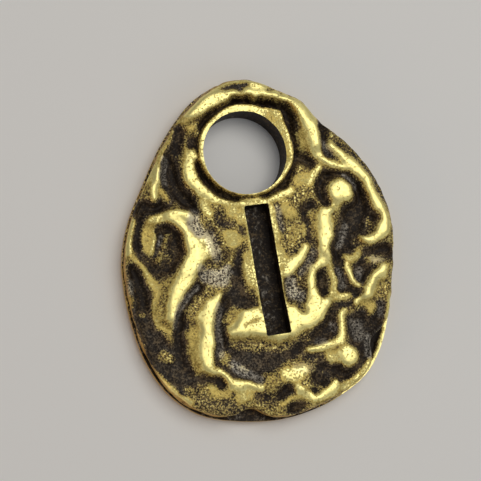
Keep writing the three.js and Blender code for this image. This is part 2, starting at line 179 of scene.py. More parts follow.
RIDGES = [
    # the ring round the top of the bore
    (1.9, 0.7, [(-6.2, 13.0, 0.5), (-4.9, 14.5, 0.6), (-3.0, 15.5, 0.5)]),
    (2.15, 1.0, [(-5.2, 13.4, 0.45), (-4.1, 14.2, 0.9), (-2.4, 14.9, 1.1), (0.0, 15.2, 0.8),
                 (2.2, 15.3, 1.1), (4.2, 14.5, 1.0), (5.7, 13.4, 1.0), (6.6, 12.0, 0.85),
                 (6.8, 10.2, 0.6), (6.9, 8.6, 0.5)]),
    (2.0, 0.9, [(-2.6, 16.0, 0.3), (-0.5, 16.4, 0.2), (1.2, 16.2, 0.5), (2.8, 15.9, 0.5),
                 (5.2, 14.7, 0.4), (6.7, 13.2, 0.3), (7.3, 11.9, 0.2)]),
    (1.75, 0.95, [(6.9, 8.2, 0.35), (7.8, 7.4, 0.22), (8.6, 6.9, 0.22), (9.4, 6.6, 0.15)]),
    (1.65, 0.9, [(-5.5, 9.4, 0.35), (-5.9, 8.3, 0.5), (-5.9, 7.2, 0.65), (-5.0, 6.0, 0.65),
                 (-3.9, 5.2, 0.55), (-2.6, 4.7, 0.45), (-1.2, 4.4, 0.25), (0.5, 4.4, 0.2),
                 (2.2, 4.5, 0.25), (3.5, 5.0, 0.25)]),
    # the right shoulder
    (1.8, 1.0, [(8.4, 9.0, 0.2), (8.9, 8.3, 0.35), (9.6, 7.6, 0.45), (10.2, 6.9, 0.55),
                 (10.8, 6.2, 0.55),
                 (11.4, 5.2, 0.45), (11.8, 4.1, 0.4), (12.0, 3.1, 0.45), (12.4, 2.3, 0.45),
                 (12.8, 1.6, 0.35), (12.8, 0.8, 0.45), (12.3, 0.1, 0.5), (11.5, -0.4, 0.45),
                 (10.8, -0.8, 0.35), (10.1, -0.6, 0.18)]),
    (1.3, 0.85, [(8.2, 3.6, 0.5), (7.9, 3.0, 0.2)]),
    (1.85, 1.0, [(8.6, 4.6, 1.2), (8.6, 4.4, 1.2)]),
    (1.5, 0.85, [(5.5, 5.5, 0.2), (6.3, 6.3, 0.25), (6.9, 7.0, 0.2)]),
    (1.5, 0.65, [(4.5, 5.8, 0.35), (5.3, 6.2, 0.25)]),
    # the right side, below the shoulder
    (1.35, 0.7, [(8.0, -2.0, 0.15), (9.0, -2.4, 0.22), (9.7, -2.0, 0.18)]),
    (1.5, 0.9, [(8.1, -2.8, 0.15), (8.25, -3.6, 0.2), (8.5, -4.4, 0.2), (8.9, -4.9, 0.15)]),
    (1.25, 0.55, [(10.7, -2.6, 0.25), (11.8, -2.7, 0.25)]),
    (1.7, 1.0, [(11.8, -3.6, 0.35), (11.3, -4.3, 0.65), (10.7, -5.0, 0.7), (10.0, -5.6, 0.5),
                 (9.3, -6.2, 0.2), (8.5, -6.6, 0.15)]),
    (1.3, 0.6, [(9.2, -6.8, 0.2), (10.1, -7.2, 0.45), (9.9, -7.6, 0.35)]),
    (1.25, 0.5, [(11.5, -5.2, 0.35), (10.9, -5.9, 0.2)]),
    # right of the slot
    (1.6, 0.8, [(1.5, 3.4, 0.15), (1.55, 1.9, 0.15), (1.6, 0.5, 0.15)]),
    (1.65, 0.62, [(2.9, 3.2, 0.6), (3.2, 2.7, 0.55)]),
    (1.45, 0.5, [(3.4, 1.2, 0.5), (3.2, 0.2, 0.45)]),
    (1.5, 0.5, [(5.4, 2.4, 0.35), (5.5, 1.0, 0.35), (5.6, 0.2, 0.3)]),
    (1.8, 1.0, [(7.4, 2.7, 0.25), (6.8, 2.4, 0.5), (6.6, 1.4, 0.6), (6.5, 0.3, 0.6), (6.1, -0.9, 0.6),
                 (6.1, -2.0, 0.6)]),
    (1.5, 0.75, [(1.7, -0.6, 0.25), (1.9, -1.7, 0.45)]),
    (1.6, 0.95, [(1.9, -3.0, 0.25), (2.6, -2.4, 0.45), (3.4, -1.7, 0.4), (4.3, -0.7, 0.22)]),
    (1.6, 0.95, [(5.7, -2.3, 0.35), (4.7, -2.9, 0.35), (4.4, -3.8, 0.23), (4.3, -4.8, 0.35),
                  (4.3, -5.7, 0.45), (4.1, -6.6, 0.6)]),
    (1.4, 0.75, [(6.6, -3.0, 0.15), (6.6, -4.2, 0.22), (6.5, -5.2, 0.25), (6.0, -5.9, 0.35)]),
    (1.4, 0.85, [(6.8, -6.05, 0.15), (7.9, -5.9, 0.12)]),
    # the mound under the slot
    (1.7, 1.0, [(-2.7, -6.8, 0.7), (-1.8, -6.6, 0.55)]),
    (1.7, 1.0, [(1.9, -7.0, 0.6), (2.3, -7.6, 0.8)]),
    (1.75, 1.0, [(-3.9, -7.9, 0.75), (-3.2, -7.7, 1.1), (-2.3, -7.5, 1.35), (-1.6, -8.0, 1.2),
                 (0.0, -9.2, 0.5), (1.7, -8.4, 0.8), (2.4, -7.6, 1.0), (3.3, -7.8, 0.9),
                 (4.2, -7.2, 0.9), (4.8, -6.5, 0.6), (5.4, -6.3, 0.35)]),
    (1.4, 0.5, [(-4.4, -7.0, 0.45), (-3.9, -6.2, 0.35)]),
    (1.2, 0.33, [(-4.1, -9.2, 0.35), (-2.0, -9.7, 0.35), (0.0, -10.1, 0.25), (1.3, -9.9, 0.25)]),
    (1.55, 0.9, [(3.0, -10.6, 0.15), (4.2, -10.7, 0.22), (5.4, -10.4, 0.22), (6.2, -10.1, 0.22),
                 (6.5, -9.4, 0.18), (6.6, -8.4, 0.18), (6.7, -7.7, 0.2), (7.2, -7.3, 0.15)]),
    (1.35, 0.75, [(6.1, -11.7, 0.5), (5.0, -11.6, 0.35)]),
    (1.6, 1.0, [(6.85, -11.8, 0.8), (7.0, -11.6, 0.8)]),
    # left of the slot
    (1.55, 0.7, [(-3.0, 1.3, 0.6), (-2.7, 0.6, 0.6), (-2.2, 0.9, 0.45)]),
    (1.5, 0.75, [(-2.4, 3.6, 0.45), (-1.7, 3.2, 0.35), (-1.8, 2.6, 0.2)]),
    (1.5, 0.8, [(-5.2, 4.6, 0.45), (-4.7, 3.6, 0.25)]),
    (1.55, 0.9, [(-6.6, 0.8, 0.5), (-5.5, 0.8, 0.5), (-5.6, -0.1, 0.5), (-6.6, -0.2, 0.5)]),
    (1.5, 0.75, [(-1.7, -0.9, 0.2), (-1.65, -2.4, 0.35), (-1.6, -3.6, 0.2)]),
    # the leaf on the left
    (1.85, 1.0, [(-6.8, 3.6, 0.35), (-7.7, 3.45, 0.45), (-8.7, 3.6, 0.5), (-9.6, 3.6, 0.35)]),
    (1.6, 0.7, [(-9.6, 3.6, 0.35), (-10.4, 3.3, 0.35), (-11.0, 2.6, 0.18), (-11.4, 1.7, 0.14),
                 (-11.4, 0.9, 0.12)]),
    (1.75, 1.0, [(-7.9, 3.0, 0.35), (-7.3, 2.0, 0.25), (-6.9, 1.0, 0.55), (-6.8, 0.0, 0.8),
                 (-7.1, -1.0, 0.85), (-7.7, -2.0, 0.85), (-8.5, -3.0, 0.8), (-9.1, -4.0, 0.6),
                 (-9.6, -5.0, 0.45), (-9.9, -6.0, 0.25), (-10.1, -6.7, 0.2)]),
    (1.15, 0.55, [(-10.8, 2.6, 0.3), (-10.95, 1.7, 0.4), (-11.0, 0.8, 0.3)]),
    (1.2, 0.65, [(-12.6, 0.3, 0.15), (-12.0, -0.5, 0.18), (-11.5, -1.5, 0.18), (-11.1, -2.4, 0.2),
                  (-10.7, -3.1, 0.22)]),
    (1.3, 0.5, [(-9.4, -2.6, 0.6), (-10.1, -4.0, 0.9), (-10.6, -5.3, 0.9), (-10.6, -6.3, 0.65),
                 (-10.2, -7.0, 0.25)]),
    (1.75, 1.0, [(-8.5, -3.0, 0.6), (-9.1, -4.0, 0.5), (-9.6, -5.0, 0.4), (-9.9, -6.0, 0.22)]),
    # the upper left edge
    (1.45, 0.65, [(-7.3, 12.1, 0.25), (-7.8, 11.1, 0.35), (-8.4, 10.2, 0.4), (-9.3, 9.2, 0.35)]),
    (1.6, 0.95, [(-9.3, 8.5, 0.35), (-9.3, 7.4, 0.35), (-9.6, 6.3, 0.2), (-9.8, 5.6, 0.12)]),
    (1.3, 0.9, [(-10.0, 8.1, 0.15), (-10.9, 6.7, 0.15)]),
    (1.2, 0.55, [(-8.9, 6.4, 0.2), (-8.6, 5.5, 0.22)]),
    (1.5, 1.0, [(-12.4, 3.8, 0.4), (-13.0, 2.3, 0.55), (-13.3, 0.9, 0.4)]),
    # the ridge that curls round the lower left
    (1.7, 1.0, [(-4.9, -4.5, 0.25), (-5.6, -5.2, 0.55), (-6.4, -6.3, 0.8), (-6.8, -7.5, 0.85),
                 (-6.9, -8.8, 0.8), (-7.1, -10.0, 0.65), (-7.1, -11.0, 0.5), (-6.9, -11.6, 0.35)]),
    (1.3, 0.55, [(-8.0, -7.6, 0.45), (-8.1, -9.0, 0.45), (-8.0, -10.3, 0.45), (-7.7, -11.6, 0.45)]),
    (1.7, 1.0, [(-6.9, -8.8, 0.6), (-7.1, -10.0, 0.55), (-7.1, -10.9, 0.45)]),
    (1.55, 0.95, [(-6.0, -11.6, 0.15), (-5.5, -12.2, 0.25), (-5.1, -12.8, 0.35), (-4.2, -13.1, 0.45),
                  (-3.3, -13.5, 0.45), (-2.3, -13.6, 0.2)]),
    (1.35, 0.7, [(-7.0, -12.6, 0.25), (-6.7, -13.1, 0.25)]),
    (1.35, 0.55, [(-6.8, -13.7, 0.35), (-5.6, -13.7, 0.35)]),
    (1.35, 0.7, [(-4.4, -14.3, 0.4), (-3.4, -14.2, 0.4)]),
    (1.0, 0.55, [(-5.2, -10.2, 0.35), (-5.2, -10.5, 0.35)]),
    # the foot
    (1.45, 0.85, [(0.5, -12.7, 0.5), (1.4, -12.8, 0.55), (2.1, -12.6, 0.35)]),
    (1.5, 1.0, [(1.4, -14.0, 0.15), (1.7, -14.7, 0.25), (2.4, -14.9, 0.25), (3.1, -15.4, 0.2),
                 (4.3, -15.0, 0.35), (5.0, -14.5, 0.25), (5.2, -14.0, 0.12)]),
    (1.35, 0.6, [(-0.3, -15.4, 0.18), (0.8, -14.9, 0.18), (1.8, -15.0, 0.15)]),
    (1.25, 0.85, [(5.9, -14.6, 0.25), (7.0, -14.1, 0.18), (8.2, -13.3, 0.22), (9.0, -12.5, 0.15)]),
    (1.45, 0.95, [(12.2, -6.4, 0.12), (11.8, -7.6, 0.14), (11.3, -8.9, 0.12)]),
    (1.35, 1.0, [(-12.2, -10.8, 0.12), (-11.4, -12.0, 0.16), (-10.8, -12.8, 0.2), (-10.0, -13.5, 0.2),
                 (-9.1, -14.2, 0.15)]),
]

# Small touches: ragged pits, thin bright edges and single nubs.
TOUCHES = [
    (0.95, 0.12, [(-8.4, -12.0, 0.3), (-7.2, -12.2, 0.25), (-6.2, -12.4, 0.3), (-5.8, -12.8, 0.2)]),
    (1.75, 0.05, [(-1.6, 15.65, 0.1), (-0.4, 15.8, 0.25), (0.8, 16.0, 0.15)]),
    (1.8, 0.05, [(-0.1, 15.7, 0.2), (0.05, 15.3, 0.15)]),
    (1.85, 0.1, [(2.9, 15.1, 0.15), (3.4, 15.2, 0.1)]),
    (1.85, 0.15, [(4.1, 14.8, 0.1), (4.2, 14.7, 0.1)]),
    (1.85, 0.1, [(5.2, 14.4, 0.12), (5.4, 14.3, 0.1)]),
    (1.35, 0.95, [(-7.3, 12.3, 0.12), (-6.4, 13.0, 0.12)]),
    (1.3, 0.25, [(-4.8, 2.4, 0.2), (-4.6, 1.5, 0.3), (-4.4, 0.5, 0.3)]),
    (1.25, 0.2, [(-3.9, 3.4, 0.3), (-3.7, 2.6, 0.35), (-2.8, 2.3, 0.22)]),
    (1.2, 0.18, [(-1.85, 1.9, 0.12), (-1.65, 1.2, 0.12)]),
    (1.15, 0.28, [(-3.8, -0.7, 0.35), (-4.6, -1.4, 0.35), (-5.4, -1.1, 0.3)]),
    (1.72, 0.62, [(-2.9, -7.6, 0.1), (-1.6, -7.1, 0.18)]),
    (1.25, 0.2, [(2.8, -6.3, 0.2), (3.2, -6.9, 0.15)]),
    (1.35, 0.95, [(-10.1, 2.2, 0.1), (-10.3, 1.5, 0.1), (-10.6, 0.8, 0.12), (-10.9, 0.3, 0.1)]),
    (1.0, 0.32, [(-9.7, 0.5, 0.35), (-9.1, -0.2, 0.35)]),
    (1.15, 0.75, [(-10.8, -3.2, 0.1), (-11.2, -4.2, 0.1), (-11.4, -5.3, 0.1), (-11.2, -6.3, 0.1),
                  (-10.3, -7.2, 0.1)]),
    (1.45, 0.85, [(4.45, 1.6, 0.1), (4.4, 0.4, 0.12)]),
    (1.0, 0.4, [(11.2, 1.3, 0.2), (11.2, 0.6, 0.25)]),
    (0.95, 0.3, [(9.4, -0.5, 0.3), (9.6, -0.8, 0.3)]),
    (1.1, 0.35, [(-11.0, -9.4, 0.5), (-10.4, -9.9, 0.4)]),
    (1.0, 0.4, [(-9.2, -12.8, 0.3), (-8.8, -13.2, 0.3)]),
    (1.1, 0.85, [(-12.9, -8.3, 0.15), (-12.8, -8.9, 0.15)]),
    (0.95, 0.55, [(-12.6, -5.4, 0.1), (-12.3, -5.5, 0.1)]),
    (1.0, 0.55, [(-3.9, -11.5, 0.2), (-3.3, -11.7, 0.25)]),
    (1.0, 0.55, [(-4.9, -11.2, 0.12), (-4.7, -11.3, 0.12)]),
]

# Painted sheen: cool grey gloss painted on the patina as a painted reflection, and a paler greyed grain
# on worn metal that is partly painted glints: amount, points.
PAINTED_SHEEN_STROKES = [
    (1.0, [(-8.3, 9.4, 0.25), (-8.6, 8.2, 0.3), (-8.5, 7.2, 0.25)]),
    (0.9, [(-6.2, 3.7, 0.5), (-6.4, 2.5, 0.7), (-6.0, 1.9, 0.6)]),
    (0.9, [(-9.6, 1.9, 0.08), (-9.8, 1.2, 0.08)]),
    (0.8, [(-13.3, -2.0, 0.15), (-13.3, -3.2, 0.15)]),
    (0.8, [(-7.0, -3.4, 0.15), (-7.9, -4.1, 0.25), (-8.6, -4.8, 0.25), (-9.3, -5.8, 0.2),
           (-9.5, -6.8, 0.2)]),
    (1.0, [(-5.6, -2.5, 0.8), (-4.5, -2.9, 0.8), (-3.8, -2.2, 0.6)]),
    (0.7, [(-5.2, 1.5, 0.5), (-4.6, -0.6, 0.5)]),
    (0.6, [(-6.3, -1.6, 0.4), (-6.0, -2.4, 0.3)]),
    (0.6, [(-5.0, -5.4, 0.3), (-5.4, -6.8, 0.35), (-5.6, -8.4, 0.35), (-5.6, -10.0, 0.4)]),
    (1.0, [(-4.4, -11.2, 0.4), (-3.4, -12.0, 0.5), (-2.3, -12.7, 0.4)]),
    (1.0, [(2.3, -3.8, 0.6), (2.3, -4.8, 0.6), (3.1, -5.3, 0.5)]),
    (0.6, [(2.1, 3.4, 0.2), (2.2, 1.2, 0.25)]),
    (0.5, [(3.6, -3.1, 0.3), (5.0, -1.3, 0.35)]),
    (0.8, [(8.7, 1.1, 0.25), (8.2, 0.0, 0.3), (7.9, -0.9, 0.25)]),
    (1.0, [(9.3, 5.9, 0.08), (9.9, 5.6, 0.1), (10.3, 4.6, 0.12)]),
    (0.4, [(11.0, -2.6, 0.35), (11.8, -2.7, 0.3)]),
    (0.6, [(7.3, -3.4, 0.3), (7.4, -4.8, 0.4)]),
    (0.6, [(9.4, -3.6, 0.4), (9.2, -4.2, 0.3)]),
    (0.8, [(5.8, -8.5, 0.2), (5.9, -8.9, 0.2)]),
    (0.8, [(4.0, -10.1, 0.25), (4.8, -10.0, 0.2)]),
    (1.0, [(9.2, -9.9, 0.15), (9.1, -11.0, 0.2), (9.0, -11.9, 0.2)]),
    (0.55, [(8.2, -8.8, 0.7), (8.3, -9.8, 0.6)]),
    (0.5, [(11.0, -7.0, 0.4), (11.0, -8.0, 0.3)]),
    (0.6, [(7.6, 9.4, 0.2), (8.3, 8.2, 0.2)]),
    (0.2, [(1.5, -12.2, 0.4), (3.0, -12.4, 0.5)]),
]

# The raised collar round the bore: angle in degrees from +X, and its width there.
COLLAR = [
    (-180, 0.5), (-168, 0.3), (-150, 0.16), (-100, 0.14), (-75, 0.2), (-60, 0.3), (-30, 0.5),
    (-12, 0.75), (12, 0.8), (30, 1.0), (43, 1.6), (50, 1.3), (62, 0.8), (90, 0.75), (120, 0.5),
    (150, 0.5), (180, 0.4),
]
COLLAR_LEVEL = 1.9
COLLAR_BANK = 0.1  # width of its outer slope
COLLAR_SWELL = [(0.07, 1.3), (0.03, 0.5)]
COLLAR_RUB = 0.88
COLLAR_PATCHES = [(0.14, 0.9)]
BROAD_COLLAR = (0.8, 1.4)  # between these widths it dulls by BROAD_DULLING
BROAD_DULLING = 0.25
DULL_SIDE = -10  # towards this angle its inner part dulls by INNER_DULLING
DULL_SPREAD = 30
DULL_INNER = (0.4, 0.7)  # the inner part, as a share of its width
INNER_DULLING = 0.35

# The moat outside the collar: angle in degrees from +X, and its width there.
MOAT = [
    (-180, 0.1), (-172, 0.4), (-160, 0.7), (-130, 0.6), (-112, 0.5), (-95, 0.25), (-80, 0.15),
    (-60, 0.3), (-40, 0.5), (-20, 0.35), (-5, 0.5), (8, 0.3), (14, 0.1), (20, 0.7), (30, 1.4),
    (38, 1.2), (50, 0.7), (66, 0.8), (71, 0.1), (77, 0.7), (95, 0.7), (100, 0.2), (118, 0.4),
    (132, 0.5), (142, 0.2), (155, 0.05), (180, 0.1),
]
MOAT_LEVEL = 0.75
MOAT_RUB = 0.06
MOAT_FLOOR = 0.35  # half of its level floor, as a share of its width
MOAT_BANK = 0.12

# How strokes are pressed in: the share of the half width that is level, how far the slope and the rub
# run past the edge, and how round the crown is.
GROUND_PRESS = (0.5, 0.8, 0.6, 0.0)
HOLLOW_PRESS = (0.5, 0.55, 0.35, 0.0)
RIDGE_PRESS = (0.7, 0.7, 0.36, 0.07)
TOUCH_PRESS = (0.6, 0.22, 0.15, 0.0)
RUB_START = -0.25  # rub starts to fade here, as a share of the half width
CROWN_END = 1.6  # a crown's roundness stops growing here

# Random variation: pairs of an amount and the size of its lumps.
WANDER = [(0.14, 1.1), (0.07, 0.45)]  # how strokes stray from their lines
BASE_SWELL = [(0.08, 2.2)]
GRAIN = [(0.05, 0.3), (0.03, 0.17)]
DENTS = [(0.03, 0.9), (0.012, 0.42)]
GRAIN_LIMIT = 1.1  # grain fades out as rub nears this

SIDE_SWELL = [(0.1, 1.6, 2), (0.05, 0.5, 1)]  # with how fast each turns with height
FLOOR_LUMPS = [(0.06, 0.7), (0.05, 0.3)]
BACK_DENTS = [(0.03, 2.5), (0.015, 0.9)]
BACK_WEAR = [(0.22, 4.0), (0.1, 1.2)]

# How the whole face is finished.
LIP_RUB = 0.9  # the slot's burnished lip, which fades out between two distances
LIP_FADE = (0.08, 0.24)
LEVEL_BLUR = 0.18
RUB_BLUR = 0.10
PROUD_REACH = 0.8  # a spot stands proud of what is this near
PROUD_RUB = 0.4
PROUD_FROM = (0.1, 0.4)  # no extra rub on patina
STEEP_BLUR = 0.12
STEEP = (0.25, 1.2)  # slopes that miss the rubbing
STEEP_DULLING = 0.45
OPEN_PATINA_PAINTED_LIGHT = 0.15  # faint painted sheen on open patina; hollows at ridge feet get none and stay dark as painted shade
OPEN_PATINA_PROUD = (-0.22, -0.04)
OPEN_PATINA_RUB = (0.2, 0.4)
PAINTED_SHEEN_START = -0.4  # sheen starts to fade here, as a share of the half width
PAINTED_SHEEN_FADE = 0.25

# ---- number fields over the token
GRID = 0.1
GRID_X = np.arange(-14.6, 14.6, GRID)
GRID_Y = np.arange(-17.6, 17.6, GRID)


def smooth(value, low, high):
    """0 below low, 1 above high, and an even S between them."""
    t = np.clip((value - low) / (high - low), 0, 1)
    return t * t * (3 - 2 * t)


def lumps(x, y, size, seed):
    """Smooth random numbers from -1 to 1, with lumps of about the given size."""
    table = np.random.default_rng(seed).uniform(-1, 1, (256, 256))
    u, v = np.asarray(x) / size, np.asarray(y) / size
    iu, iv = np.floor(u).astype(int), np.floor(v).astype(int)
    fu, fv = u - iu, v - iv
    fu, fv = fu * fu * (3 - 2 * fu), fv * fv * (3 - 2 * fv)
    near = table[iu % 256, iv % 256] * (1 - fu) + table[(iu + 1) % 256, iv % 256] * fu
    far = table[iu % 256, (iv + 1) % 256] * (1 - fu) + table[(iu + 1) % 256, (iv + 1) % 256] * fu
    return near * (1 - fv) + far * fv


def layered(x, y, layers, seed):
    """Lumps of several amounts and sizes added up, with seeds that follow on."""
    return sum(amount * lumps(x, y, size, seed + i) for i, (amount, size) in enumerate(layers))


def stroke_reach(x, y, points):
    """Distance from a stroke's line as a share of its half width there, and that half width."""
    reach = np.full(x.shape, np.inf)
    width = np.ones(x.shape)
    for (ax, ay, aw), (bx, by, bw) in zip(points, points[1:]):
        dx, dy = bx - ax, by - ay
        t = np.clip(((x - ax) * dx + (y - ay) * dy) / (dx * dx + dy * dy), 0, 1)
        w = aw + (bw - aw) * t
        d = np.hypot(x - ax - t * dx, y - ay - t * dy) / w
        closer = d < reach
        reach[closer] = d[closer]
        width[closer] = w[closer]
    return reach, width


def press(level, rub, x, y, strokes, core, slope, fade, dome):
    """Presses strokes into the fields.

    The level is full within core of the half width, and runs out slope past the edge; rub runs out
    fade past it. dome is how round the crown is.
    """
    for height, bright, points in strokes:
        reach, width = stroke_reach(x, y, points)
        away = (reach - 1) * width
        cover = 1 - smooth(away, (core - 1) * width, slope)
        crown = height - dome * width * np.minimum(reach, CROWN_END) ** 2
        level += (crown - level) * cover
        worn = 1 - smooth(away, RUB_START * width, fade)
        rub += (bright - rub) * worn


def in_slot_frame(x, y):
    """Places relative to the slot, whose foot leans to the right, with its top at SLOT_TOP."""
    down = y - SLOT_TOP
    return (x * math.cos(SLOT_LEAN) + down * math.sin(SLOT_LEAN),
            SLOT_TOP - x * math.sin(SLOT_LEAN) + down * math.cos(SLOT_LEAN))


def past_slot(x, y):
    """Distance outside the slot's wall, less than zero within it."""
    sx, sy = in_slot_frame(x, y)
    return np.maximum(np.abs(sx) - SLOT_HALF_WIDTH, np.maximum(sy - SLOT_TOP, SLOT_BOTTOM - sy))


def around_bore(x, y):
    """Angle in degrees from +X and distance from the bore's wall."""
    angle = np.degrees(np.arctan2(y - BORE_Y, x - BORE_X))
    return angle, np.hypot(x - BORE_X, y - BORE_Y) - BORE_RADIUS


def blur(field, sigma):
    """Averages a field over sigma millimetres."""
    reach = int(3 * sigma / GRID)
    kernel = np.exp(-0.5 * (np.arange(-reach, reach + 1) * GRID / sigma) ** 2)
    kernel /= kernel.sum()
    padded = np.pad(field, reach, mode="edge")
    across = np.apply_along_axis(lambda row: np.convolve(row, kernel, "valid"), 1, padded)
    return np.apply_along_axis(lambda row: np.convolve(row, kernel, "valid"), 0, across)


def sink_moat(level, rub, gx, gy, wx, wy):
    """Sinks the moat, whose banks stray like the strokes."""
    collar = np.interp(around_bore(gx, gy)[0], *zip(*COLLAR))
    angle, out = around_bore(wx, wy)
    moat = np.interp(angle, *zip(*MOAT))
    in_moat = 1 - smooth(np.abs(out - collar - 0.5 * moat), MOAT_FLOOR * moat, 0.5 * moat + MOAT_BANK)
    level += (MOAT_LEVEL - level) * in_moat
    rub += (MOAT_RUB - rub) * in_moat


def raise_collar(level, rub, gx, gy):
    """Raises the collar round the bore, and returns where it is."""
    angle, out = around_bore(gx, gy)
    collar = np.interp(angle, *zip(*COLLAR))
    on_collar = 1 - smooth(out, collar, collar + COLLAR_BANK)
    level += (COLLAR_LEVEL + layered(gx, gy, COLLAR_SWELL, 8) - level) * on_collar
    bright = COLLAR_RUB - BROAD_DULLING * smooth(collar, *BROAD_COLLAR)
    bright += layered(gx, gy, COLLAR_PATCHES, 10)
    inner = 1 - smooth(out / collar, *DULL_INNER)
    bright -= INNER_DULLING * inner * np.exp(-((angle - DULL_SIDE) / DULL_SPREAD) ** 2)
    rub += (bright - rub) * on_collar
    return on_collar


def painted_sheen_field(proud, rub, wx, wy):
    """Painted sheen: a faint painted lightening of open patina, which leaves painted shade in the
    hollows at ridge feet, and the strokes of stronger painted reflection.
    """
    # painted shade: faint painted sheen on open patina only, so the hollows at ridge feet stay dark
    painted_sheen = OPEN_PATINA_PAINTED_LIGHT * smooth(proud, *OPEN_PATINA_PROUD) * (1 - smooth(rub, *OPEN_PATINA_RUB))
    for amount, points in PAINTED_SHEEN_STROKES:
        reach, width = stroke_reach(wx, wy, points)
        painted_glint = 1 - smooth((reach - 1) * width, PAINTED_SHEEN_START * width, PAINTED_SHEEN_FADE)
        painted_sheen = np.maximum(painted_sheen, amount * painted_glint)
    return painted_sheen


def relief_fields():
    """Level of the face above the plate, how bright it is rubbed, and its painted sheen, on the grid."""
    gx, gy = np.meshgrid(GRID_X, GRID_Y, indexing="ij")
    wx = gx + layered(gx, gy, WANDER, 1)
    wy = gy + layered(gx, gy, WANDER, 3)
    level = BASE_LEVEL + layered(gx, gy, BASE_SWELL, 5)
    rub = np.full(gx.shape, BASE_RUB)
    press(level, rub, wx, wy, GROUND, *GROUND_PRESS)
    press(level, rub, wx, wy, HOLLOWS, *HOLLOW_PRESS)
    press(level, rub, wx, wy, RIDGES, *RIDGE_PRESS)
    press(level, rub, wx, wy, TOUCHES, *TOUCH_PRESS)
    sink_moat(level, rub, gx, gy, wx, wy)
    on_collar = raise_collar(level, rub, gx, gy)
    rub += (LIP_RUB - rub) * (1 - smooth(np.abs(past_slot(gx, gy)), *LIP_FADE))

    level = blur(level, LEVEL_BLUR) * (1 - on_collar) + level * on_collar
    rub = blur(rub, RUB_BLUR) * (1 - on_collar) + rub * on_collar
    level += layered(gx, gy, GRAIN, 6) * (GRAIN_LIMIT - rub) + layered(gx, gy, DENTS, 14)
    proud = level - blur(level, PROUD_REACH)
    steep = smooth(np.hypot(*np.gradient(blur(level, STEEP_BLUR), GRID)), *STEEP)
    rub = np.clip(rub + PROUD_RUB * proud * smooth(rub, *PROUD_FROM), 0, 1) * (1 - STEEP_DULLING * steep)
    return level, rub, painted_sheen_field(proud, rub, wx, wy)


LEVEL, RUB, PAINTED_GLOSS = relief_fields()


def field_at(field, x, y):
    """A grid field's value at points of the token."""
    u = np.clip((x - GRID_X[0]) / GRID, 0, len(GRID_X) - 1.001)
    v = np.clip((y - GRID_Y[0]) / GRID, 0, len(GRID_Y) - 1.001)
    i, j = u.astype(int), v.astype(int)
    s, t = u - i, v - j
    low = field[i, j] * (1 - s) + field[i + 1, j] * s
    high = field[i, j + 1] * (1 - s) + field[i + 1, j + 1] * s
    return low * (1 - t) + high * t


# ---- modelling helpers
def deselect_all():
    for thing in bpy.context.selected_objects:
        thing.select_set(False)


def start_piece(name):
    """Names the new primitive."""
    piece = bpy.context.object
    piece.name = name
    piece.data.name = name
    return piece


def make_active(piece):
    deselect_all()
    piece.select_set(True)
    bpy.context.view_layer.objects.active = piece


def smooth_outline(points, count):
    """count points spaced evenly along a closed smooth curve through the given points."""
    knots = np.array(points, float)
    fine = []
    for i in range(len(knots)):
        p0, p1, p2, p3 = (knots[(i + k) % len(knots)] for k in (-1, 0, 1, 2))
        for t in np.linspace(0, 1, 24, endpoint=False):
            fine.append(0.5 * (2 * p1 + (p2 - p0) * t + (2 * p0 - 5 * p1 + 4 * p2 - p3) * t * t
                               + (3 * p1 - p0 - 3 * p2 + p3) * t ** 3))
    fine = np.array(fine + fine[:1])
    along = np.concatenate([[0], np.cumsum(np.hypot(*np.diff(fine, axis=0).T))])
    marks = np.linspace(0, along[-1], count, endpoint=False)
    return np.stack([np.interp(marks, along, fine[:, 0]), np.interp(marks, along, fine[:, 1])], 1)


def inset_outline(line):
    """The face's outline: the plate's, moved in by the margin and by the gaps."""
    tangent = np.roll(line, -1, 0) - np.roll(line, 1, 0)
    tangent /= np.hypot(*tangent.T)[:, None]
    inward = np.stack([-tangent[:, 1], tangent[:, 0]], 1)
    depth = np.full(len(line), FACE_MARGIN)
    for (gx, gy), half, deep in EDGE_GAPS:
        near = np.hypot(line[:, 0] - gx, line[:, 1] - gy)
        depth += deep * np.exp(-(near / half) ** 2)
    return line + inward * depth[:, None]


def outline_block(name, line, low, *heights):
    """A block with the given outline, from a circle whose rim is pulled to it and extruded up."""
    bpy.ops.mesh.primitive_circle_add(vertices=len(line), radius=1, fill_type="NGON")
    piece = start_piece(name)
    for vertex, (x, y) in zip(piece.data.vertices, line[::-1]):
        vertex.co = (x, y, low)
    bpy.ops.object.mode_set(mode="EDIT")
    bpy.ops.mesh.select_all(action="SELECT")
    for start, end in zip((low, *heights), heights):
        bpy.ops.mesh.extrude_region_move(TRANSFORM_OT_translate={"value": (0, 0, end - start)})
    bpy.ops.mesh.select_all(action="SELECT")
    bpy.ops.mesh.normals_make_consistent(inside=False)
    bpy.ops.object.mode_set(mode="OBJECT")
    return piece


def select_edges(piece, wanted):
    """Enters edit mode with only the edges selected whose two ends pass the test."""
    bpy.ops.object.mode_set(mode="EDIT")
    bpy.ops.mesh.select_mode(type="EDGE")
    bpy.ops.mesh.select_all(action="DESELECT")
    bpy.ops.object.mode_set(mode="OBJECT")
    for edge in piece.data.edges:
        edge.select = bool(wanted(*(piece.data.vertices[i].co for i in edge.vertices)))
    bpy.ops.object.mode_set(mode="EDIT")


def round_rim(piece, height, width, segments):
    """Bevels the rim at one height."""
    make_active(piece)
    select_edges(piece, lambda a, b: max(abs(a.z - height), abs(b.z - height)) < 1e-4)
    bpy.ops.mesh.bevel(offset=width, segments=segments, affect="EDGES")
    bpy.ops.object.mode_set(mode="OBJECT")


def remesh(piece, voxel):
    make_active(piece)
    modifier = piece.modifiers.new("even_mesh", "REMESH")
    modifier.mode = "VOXEL"
    modifier.voxel_size = voxel
    modifier.adaptivity = 0
    bpy.ops.object.modifier_apply(modifier=modifier.name)


